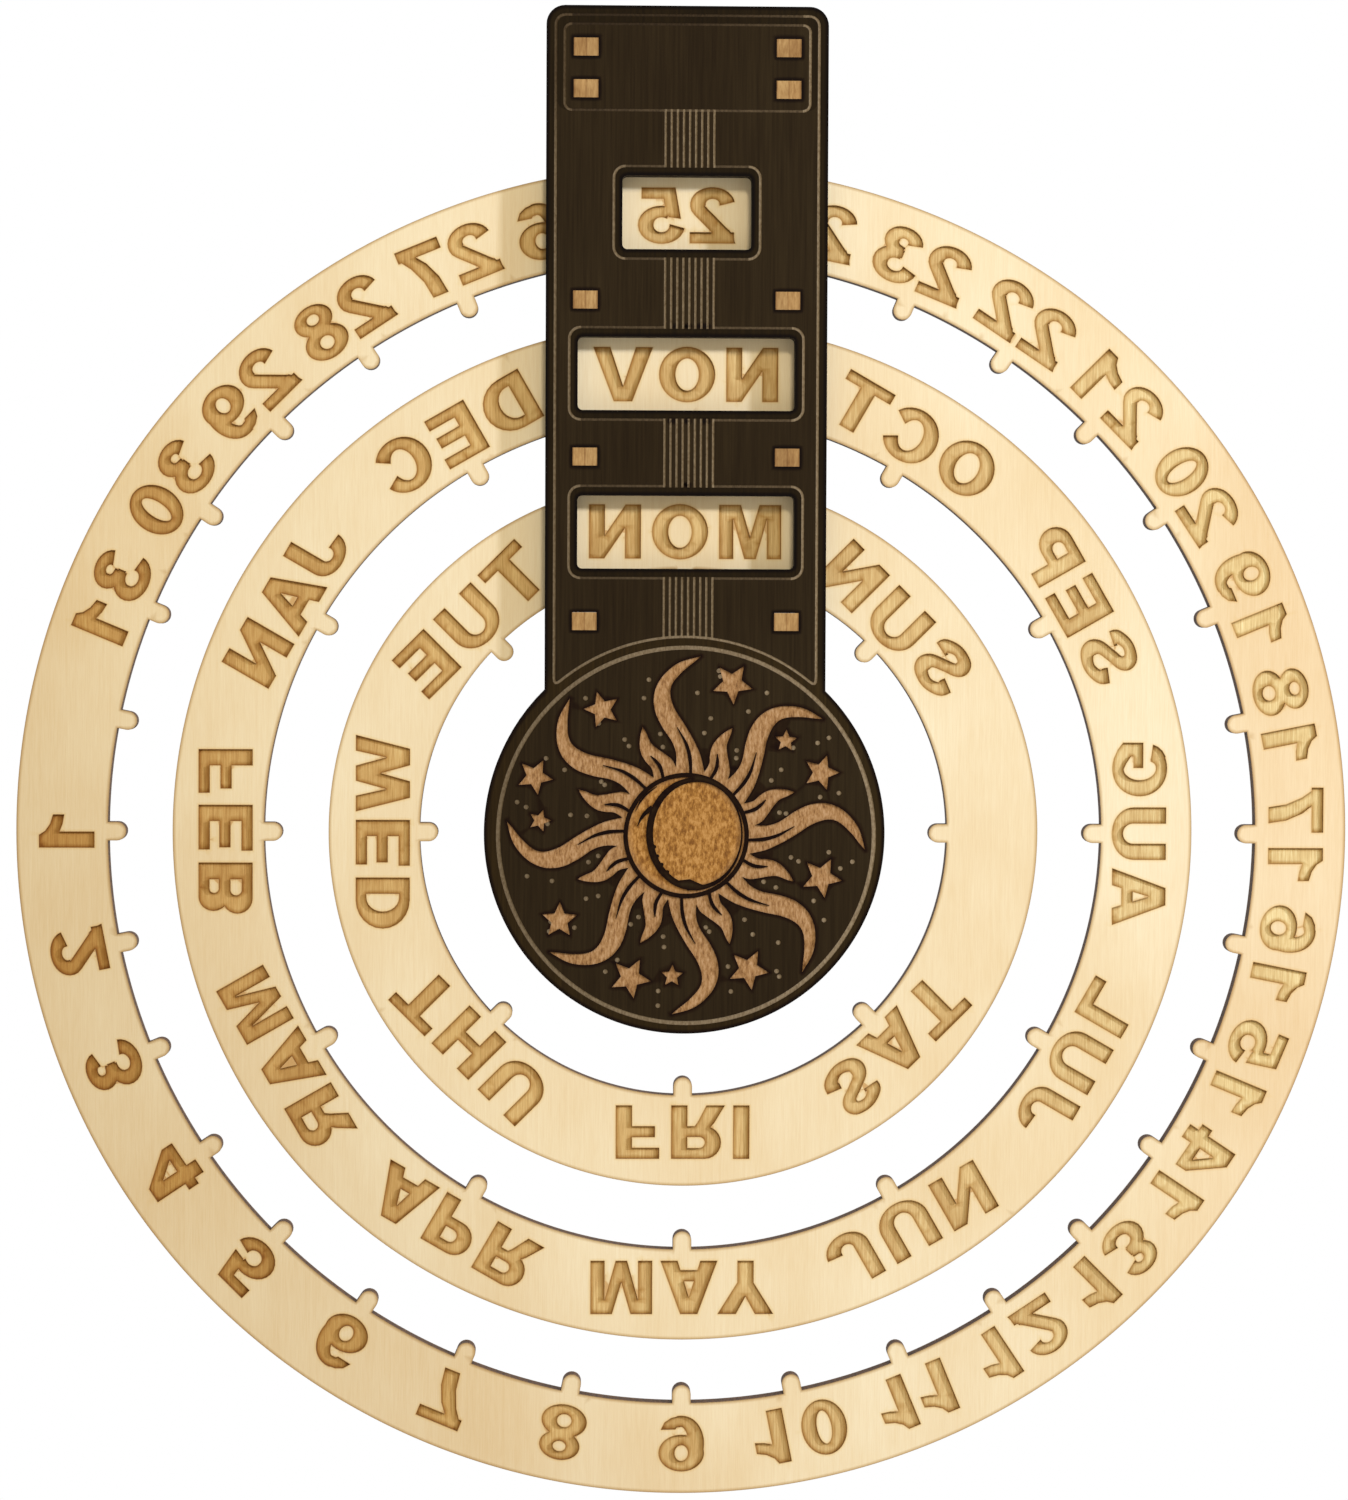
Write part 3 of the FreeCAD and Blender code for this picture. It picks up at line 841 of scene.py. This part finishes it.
WHITE = (255, 255, 255)


def new_node(tree, kind, inputs=None, **settings):
    """A node whose inputs are set to a value or joined to another node's output."""
    node = tree.nodes.new(kind)
    for name, value in settings.items():
        setattr(node, name, value)
    for slot, value in (inputs or {}).items():
        if isinstance(value, bpy.types.NodeSocket):
            tree.links.new(value, node.inputs[slot])
        else:
            node.inputs[slot].default_value = value
    return node


class Recipe:
    """A node material being put together."""

    def __init__(self, name, roughness, specular):
        self.material = bpy.data.materials.new(name)
        self.material.use_nodes = True
        self.tree = self.material.node_tree
        self.shader = self.tree.nodes["Principled BSDF"]
        self.shader.inputs["Roughness"].default_value = roughness
        self.shader.inputs["Specular IOR Level"].default_value = specular
        self.place = self.add("ShaderNodeTexCoord").outputs["Object"]

    def add(self, kind, inputs=None, **settings):
        return new_node(self.tree, kind, inputs, **settings)

    def noise(self, size, detail=3.0, roughness=0.5):
        """Noise whose spots have these sizes in millimetres along X, Y and Z."""
        stretch = {0: self.place, 1: [1 / (length * MM) for length in size]}
        place = self.add("ShaderNodeVectorMath", stretch, operation="MULTIPLY").outputs[0]
        inputs = {"Vector": place, "Scale": 1, "Detail": detail, "Roughness": roughness}
        return self.add("ShaderNodeTexNoise", inputs).outputs["Fac"]

    def ramp(self, source, *stops):
        """Colours along a value, each stop with its place and its colour as written on a screen."""
        node = self.add("ShaderNodeValToRGB", {"Fac": source})
        band = node.color_ramp
        while len(band.elements) < len(stops):
            band.elements.new(0.5)
        for element, (position, shade) in zip(band.elements, stops):
            element.position = position
            element.color = colour(*shade)
        return node.outputs["Color"]

    def span(self, source, low, high, start=0.0, end=1.0):
        """A value moved from one range to another and kept inside it."""
        inputs = {"Value": source, "From Min": low, "From Max": high, "To Min": start, "To Max": end}
        return self.add("ShaderNodeMapRange", inputs).outputs["Result"]

    def blend(self, share, first, second, kind="MIX"):
        """Two colours mixed by a share."""
        inputs = {0: share, 6: first, 7: second}
        return self.add("ShaderNodeMix", inputs, data_type="RGBA", blend_type=kind).outputs[2]

    def shade(self, wood, source, *stops, share=1.0):
        """Wood darkened by the colours along a value."""
        return self.blend(share, wood, self.ramp(source, *stops), "MULTIPLY")

    def told(self, name):
        """A value that the mesh tells at each point."""
        return self.add("ShaderNodeAttribute", attribute_name=name).outputs["Fac"]

    def along(self, axis, source=None):
        return self.add("ShaderNodeSeparateXYZ", {0: source or self.place}).outputs[axis]

    def unsigned(self, source):
        return self.add("ShaderNodeMath", {0: source}, operation="ABSOLUTE").outputs[0]

    def across(self, reach):
        """0 this many millimetres to the left of the axis, and 1 as far to the right."""
        return self.span(self.along("X"), -reach * MM, reach * MM)

    def toward(self, way):
        """How far a point lies along a direction, in metres."""
        inputs = {0: self.place, 1: way}
        return self.add("ShaderNodeVectorMath", inputs, operation="DOT_PRODUCT").outputs["Value"]

    def away(self):
        """How far a point lies from the axis, in metres."""
        return self.add("ShaderNodeVectorMath", {0: self.place}, operation="LENGTH").outputs["Value"]

    def bump(self, height, distance, strength=1.0):
        inputs = {"Height": height, "Distance": distance * MM, "Strength": strength}
        normal = self.add("ShaderNodeBump", inputs).outputs["Normal"]
        self.tree.links.new(normal, self.shader.inputs["Normal"])

    def paint(self, source):
        self.tree.links.new(source, self.shader.inputs["Base Color"])
        return self.material


# The directions of the painted shades, and how far to each side of the axis they reach, in millimetres
LOWER_LEFT_SHADE = (-0.7, 0.0, -0.5)
UPPER_LEFT_SHADE = (-0.5, 0.0, 1.0)
SHADE_HALF_WIDTH = 150.0
DISC_SHADE_REACH = 40.0

# Where the looks of the sun's core and of the disc give way to the next, in metres from the axis
CORE_END = (0.017, 0.019)
DISC_END = (0.047, 0.050)

# Sizes of the wood's grain and patches along X, Y and Z
GRAIN = (0.55, 2.0, 26.0)
FINE_GRAIN = (0.22, 0.6, 5.0)
PATCHES = (34.0, 20.0, 60.0)


def pale_wood(recipe):
    """Fine straight grain with faint patches, as on limewood plywood."""
    grain = recipe.ramp(recipe.noise(GRAIN, 4.0, 0.6), (0.3, (240, 214, 167)), (0.7, (249, 229, 188)))
    patches = recipe.ramp(recipe.noise(PATCHES), (0.32, (236, 206, 156)), (0.68, (253, 235, 197)))
    wood = recipe.blend(0.6, grain, patches)
    return recipe.shade(wood, recipe.noise(FINE_GRAIN, 2.0), (0.35, (248, 243, 233)), (0.6, WHITE), share=0.5)


def pale_face():
    """A ring's face, scorched by its edges and letters, in painted shade to the sides and lower left."""
    recipe = Recipe("pale_ply_face", 0.62, 0.3)
    wood = pale_wood(recipe)
    rim, cut = recipe.told("rim"), recipe.told("cut")
    wood = recipe.shade(wood, rim, (0.0, (170, 146, 112)), (0.35, (226, 214, 194)), (0.8, WHITE), share=0.9)
    wood = recipe.shade(wood, cut, (0.0, (214, 180, 128)), (0.2, (250, 244, 226)), (0.7, WHITE), share=0.85)
    # Painted shade: a little darker to the left and right sides, and towards the lower left
    across = recipe.across(SHADE_HALF_WIDTH)
    side = (0.95, (250, 243, 236))
    wood = recipe.shade(wood, across, (0.0, (246, 243, 236)), (0.4, WHITE), (0.84, WHITE), side)
    low = recipe.span(recipe.toward(LOWER_LEFT_SHADE), 0.06, 0.11)
    wood = recipe.shade(wood, low, (0.0, WHITE), (0.8, (245, 242, 238)))
    recipe.bump(recipe.noise(FINE_GRAIN, 3.0), 0.03, 0.5)
    return recipe.paint(wood)


def letter_floor():
    """Where the laser took off the top layer: brown, streaky, darker at its edges, painted shade to the left.
    """
    recipe = Recipe("engraved_floor", 0.75, 0.2)
    streaks = recipe.noise((0.35, 1.0, 7.0), 4.0, 0.65)
    wood = recipe.ramp(streaks, (0.3, (216, 182, 121)), (0.5, (240, 210, 147)), (0.72, (255, 236, 177)))
    patches = recipe.noise((9.0, 9.0, 14.0))
    wood = recipe.shade(wood, patches, (0.35, (226, 214, 196)), (0.65, WHITE), share=0.8)
    cut = recipe.told("cut")
    wood = recipe.shade(wood, cut, (0.0, (188, 160, 118)), (0.35, (228, 214, 190)), (0.9, WHITE))
    # Painted shade: darker towards the left and towards the lower left
    across = recipe.across(SHADE_HALF_WIDTH)
    left, middle, right = (211, 181, 139), (235, 219, 198), (243, 235, 228)
    wood = recipe.shade(wood, across, (0.0, left), (0.35, middle), (0.75, right), (0.9, WHITE))
    low = recipe.span(recipe.toward(LOWER_LEFT_SHADE), 0.08, 0.12)
    wood = recipe.shade(wood, low, (0.0, WHITE), (1.0, (236, 226, 204)))
    recipe.bump(streaks, 0.05, 0.8)
    return recipe.paint(wood)


def scorched_wall(name, dark, light):
    """A laser-cut wall, burnt brown, with fine marks down the cut."""
    recipe = Recipe(name, 0.7, 0.25)
    return recipe.paint(recipe.ramp(recipe.noise((0.4, 6.0, 0.4), 3.0), (0.3, dark), (0.7, light)))


def layered_edge(name, rear, front, dark, light):
    """The cut edge of a sheet of three layers, with glue lines and a darker middle layer."""
    recipe = Recipe(name, 0.66, 0.25)
    wood = recipe.ramp(recipe.noise((0.5, 3.0, 0.5), 3.0), (0.3, dark), (0.7, light))
    depth = recipe.span(recipe.along("Y"), -rear * MM, -front * MM)
    glue, core = (176, 150, 118), (214, 204, 190)
    stops = [(0.0, WHITE), (0.3, WHITE), (0.34, glue), (0.38, core), (0.62, core), (0.66, glue), (0.7, WHITE)]
    return recipe.paint(recipe.shade(wood, depth, *stops))


def dark_face(name, dark, light, disc_gain=0.0):
    """Black-brown stain with the grain just showing, blacker beside the cut edges."""
    recipe = Recipe(name, 0.7, 0.06)
    grain = recipe.noise((0.5, 2.0, 18.0), 4.0, 0.6)
    wood = recipe.ramp(grain, (0.3, dark), (0.7, light))
    disc = recipe.span(recipe.away(), *DISC_END, disc_gain, 0.0)
    wood = recipe.blend(disc, wood, colour(*WHITE), "DODGE")
    wood = recipe.shade(wood, recipe.noise(PATCHES), (0.35, (226, 220, 210)), (0.65, WHITE), share=0.8)
    rim, cut = recipe.told("rim"), recipe.told("cut")
    wood = recipe.shade(wood, rim, (0.0, (96, 70, 52)), (0.5, (150, 126, 104)), (1.0, WHITE))
    wood = recipe.shade(wood, cut, (0.0, (132, 78, 52)), (0.4, (186, 150, 126)), (0.95, WHITE))
    recipe.bump(grain, 0.04, 0.5)
    return recipe.paint(wood)


def gold_floor():
    """The plate's cuts, which bare the golden brown wood under the stain, yellower in the sun's core."""
    recipe = Recipe("engraved_gold", 0.7, 0.25)
    streaks = recipe.noise((0.5, 1.0, 1.6), 4.0, 0.7)
    wood = recipe.ramp(streaks, (0.3, (113, 73, 35)), (0.48, (166, 121, 72)), (0.68, (195, 153, 108)))
    mottle = recipe.noise((0.7, 1.0, 1.5), 4.0, 0.7)
    core = recipe.ramp(mottle, (0.36, (122, 74, 18)), (0.5, (168, 114, 46)), (0.62, (196, 142, 76)))
    wood = recipe.blend(recipe.span(recipe.away(), *CORE_END), core, wood)
    recipe.bump(streaks, 0.05, 0.7)
    return recipe.paint(wood)


def line_floor(name, dark, light):
    """The plate's thin lines: a shallow cut leaving a dusty tan, in painted shade to the left and top left.
    """
    recipe = Recipe(name, 0.8, 0.1)
    wood = recipe.ramp(recipe.noise((0.5, 1.0, 0.9), 3.0, 0.6), (0.3, dark), (0.7, light))
    # Painted shade: darker towards the disc's left and towards the plate's top left
    across = recipe.across(DISC_SHADE_REACH)
    wood = recipe.shade(wood, across, (0.0, (206, 204, 200)), (0.5, (232, 231, 229)), (1.0, WHITE))
    high = recipe.span(recipe.toward(UPPER_LEFT_SHADE), 0.163, 0.182)
    return recipe.paint(recipe.shade(wood, high, (0.0, WHITE), (1.0, (176, 168, 158))))


def node_wood(name, face_shades, edge_shades, roughness):
    """Wood for the carried-over nodes: grain on the faces, a burnt tone on the cut edges."""
    recipe = Recipe(name, roughness, 0.3)
    face_wood = recipe.ramp(recipe.noise(GRAIN, 4.0, 0.6), (0.3, face_shades[0]), (0.7, face_shades[1]))
    marks = recipe.noise((0.4, 3.0, 0.4), 3.0)
    edge_wood = recipe.ramp(marks, (0.3, edge_shades[0]), (0.7, edge_shades[1]))
    facing = recipe.along("Y", recipe.add("ShaderNodeTexCoord").outputs["Normal"])
    share = recipe.span(recipe.unsigned(facing), 0.4, 0.6)
    recipe.bump(recipe.noise(FINE_GRAIN, 3.0), 0.03, 0.5)
    return recipe.paint(recipe.blend(share, edge_wood, face_wood))


def tab_wood():
    """The ribs: pale wood whose tab ends show the layers of the sheet and are a little burnt."""
    recipe = Recipe("rib_ply", 0.68, 0.25)
    streaks = recipe.noise((0.5, 1.5, 2.2), 4.0, 0.6)
    wood = recipe.ramp(streaks, (0.3, (158, 117, 66)), (0.7, (194, 154, 98)))
    patches = recipe.noise((7.0, 30.0, 7.0), 1.0)
    wood = recipe.shade(wood, patches, (0.36, (214, 204, 190)), (0.6, WHITE), share=0.9)
    low, high = box_of("date_rib_right")
    across = recipe.span(recipe.unsigned(recipe.along("X")), low.x * MM, high.x * MM)
    burnt, glue, outer = (196, 180, 158), (206, 190, 168), (250, 246, 240)
    stops = [(0.0, burnt), (0.08, WHITE), (0.46, WHITE), (0.5, glue), (0.54, outer), (0.92, outer)]
    stops.append((1.0, burnt))
    recipe.bump(streaks, 0.04, 0.6)
    return recipe.paint(recipe.shade(wood, across, *stops, share=0.9))


def coat(nodes, look):
    """Gives CAD nodes one material."""
    for name in nodes:
        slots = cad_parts[name].data.materials
        slots.clear()
        slots.append(look)


# Camera, by the photograph's view: a little to the left and above, looking at the middle
CAMERA_PLACE = (-27.0, -900.0, 48.0)
CAMERA_TARGET = (-2.3, -8.5, 18.66)
CAMERA_ROLL = math.radians(0.24)
CAMERA_LENS = 95.0
CAMERA_CLIP = (0.05, 20)
LONG_SIDE = 36.0


def camera():
    data = bpy.data.cameras.new("camera")
    data.sensor_width = LONG_SIDE
    data.lens = CAMERA_LENS
    data.clip_start, data.clip_end = CAMERA_CLIP
    place, target = Vector(CAMERA_PLACE) * MM, Vector(CAMERA_TARGET) * MM
    view = (target - place).to_track_quat("-Z", "Y").to_matrix().to_4x4()
    eye = placed("camera", data)
    eye.matrix_world = Matrix.Translation(place) @ view @ Matrix.Rotation(CAMERA_ROLL, 4, "Z")
    bpy.context.scene.camera = eye


def lamp(name, way, distance, size, power, tint):
    """A soft square lamp in a direction from the calendar's middle, turned to it."""
    data = bpy.data.lights.new(name, "AREA")
    data.size = size
    data.energy = power
    data.color = tint
    way = Vector(way).normalized()
    unit = placed(name, data)
    unit.location = way * distance
    unit.rotation_euler = (-way).to_track_quat("-Z", "Y").to_euler()


def seen_directly(tree):
    """1 for what the camera sees, straight or in a reflection, and 0 for light."""
    path = tree.nodes.new("ShaderNodeLightPath")
    total = path.outputs["Is Camera Ray"]
    for name in ("Is Glossy Ray", "Is Transmission Ray"):
        either = {0: total, 1: path.outputs[name]}
        total = new_node(tree, "ShaderNodeMath", either, operation="MAXIMUM").outputs[0]
    return total


def mixed(tree, share, first, second, end):
    """One shader giving way to another by a share, as what the tree ends in."""
    inputs = {0: share, 1: first.outputs[0], 2: second.outputs[0]}
    choice = new_node(tree, "ShaderNodeMixShader", inputs)
    tree.links.new(choice.outputs[0], tree.nodes[end].inputs["Surface"])


def surroundings(level, tint):
    """Soft light from all round, seen as plain white."""
    world = bpy.data.worlds.new("studio")
    bpy.context.scene.world = world
    world.use_nodes = True
    tree = world.node_tree
    light = tree.nodes["Background"]
    light.inputs["Color"].default_value = (*tint, 1)
    light.inputs["Strength"].default_value = level
    white = new_node(tree, "ShaderNodeBackground", {"Color": (1, 1, 1, 1), "Strength": 1})
    mixed(tree, seen_directly(tree), light, white, "World Output")


FLOOR_HEIGHT = -0.7
FLOOR_REACH = 2.2
FLOOR_GLOW = 0.85


def floor():
    """A pale floor below the calendar, which keeps a faint shadow."""
    plan = slab(-FLOOR_REACH, -FLOOR_REACH, FLOOR_REACH, FLOOR_REACH)
    mesh = bpy.data.meshes.new("floor")
    mesh.from_pydata([(*corner, FLOOR_HEIGHT) for corner in plan], [], [(0, 1, 2, 3)])
    material = bpy.data.materials.new("floor")
    material.use_nodes = True
    tree = material.node_tree
    shader = tree.nodes["Principled BSDF"]
    shader.inputs["Base Color"].default_value = (0.9, 0.9, 0.9, 1)
    shader.inputs["Roughness"].default_value = 0.9
    glow = new_node(tree, "ShaderNodeEmission", {"Strength": 1})
    inputs = {0: seen_directly(tree), 1: FLOOR_GLOW}
    share = new_node(tree, "ShaderNodeMath", inputs, operation="MULTIPLY").outputs[0]
    mixed(tree, share, shader, glow, "Material Output")
    mesh.materials.append(material)
    placed("floor", mesh)


camera()
surroundings(level=0.41, tint=(1.0, 0.94, 0.8))
lamp("key", (2.2, -1.0, 0.8), distance=1.4, size=0.084, power=18.5, tint=(0.66, 0.76, 1.0))
lamp("top", (0.15, -1.0, 0.75), distance=1.8, size=0.25, power=11.3, tint=(1.0, 0.96, 0.84))
floor()
bpy.context.scene.view_settings.view_transform = "Standard"

ring_depths = depths_of("date_ring")
plate_depths = depths_of("front_plate")
ring_looks = [
    pale_face(),
    letter_floor(),
    layered_edge("ring_edge", *ring_depths, (62, 40, 20), (108, 74, 40)),
    scorched_wall("letter_wall", (110, 78, 42), (150, 112, 66)),
]
plate_looks = [
    dark_face("dark_ply_face", (38, 27, 12), (51, 39, 21)),
    gold_floor(),
    layered_edge("plate_edge", *plate_depths, (26, 20, 13), (44, 35, 24)),
    scorched_wall("line_wall", (70, 48, 26), (96, 68, 38)),
    line_floor("engraved_line", (118, 98, 72), (158, 138, 108)),
    # The same line darker, as painted shade for the stretches that run level
    line_floor("engraved_line_painted_shade", (72, 58, 40), (104, 86, 62)),
    dark_face("dark_ply_band", (27, 18, 5), (39, 28, 10), disc_gain=0.45),
]
ring("date", DATES, DIGIT_HEIGHT, DATE_LABEL_RADIUS, ring_looks)
ring("month", MONTHS, LETTER_HEIGHT, MONTH_LABEL_RADIUS, ring_looks)
ring("day", DAYS, LETTER_HEIGHT, DAY_LABEL_RADIUS, ring_looks)
front_plate(plate_looks)

ribs = [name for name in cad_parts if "_rib_" in name]
saddles = ["date_saddle", "month_saddle", "day_saddle", "disc_spacer", "top_spacer"]
coat(ribs, tab_wood())
pale_shades = ((222, 194, 148), (240, 218, 178))
burnt_shades = ((112, 76, 42), (156, 114, 68))
coat(saddles, node_wood("inner_ply", pale_shades, burnt_shades, 0.65))
stained_shades = ((40, 30, 16), (54, 43, 26))
black_shades = ((24, 17, 10), (42, 32, 20))
coat(["back_plate"], node_wood("back_ply", stained_shades, black_shades, 0.6))
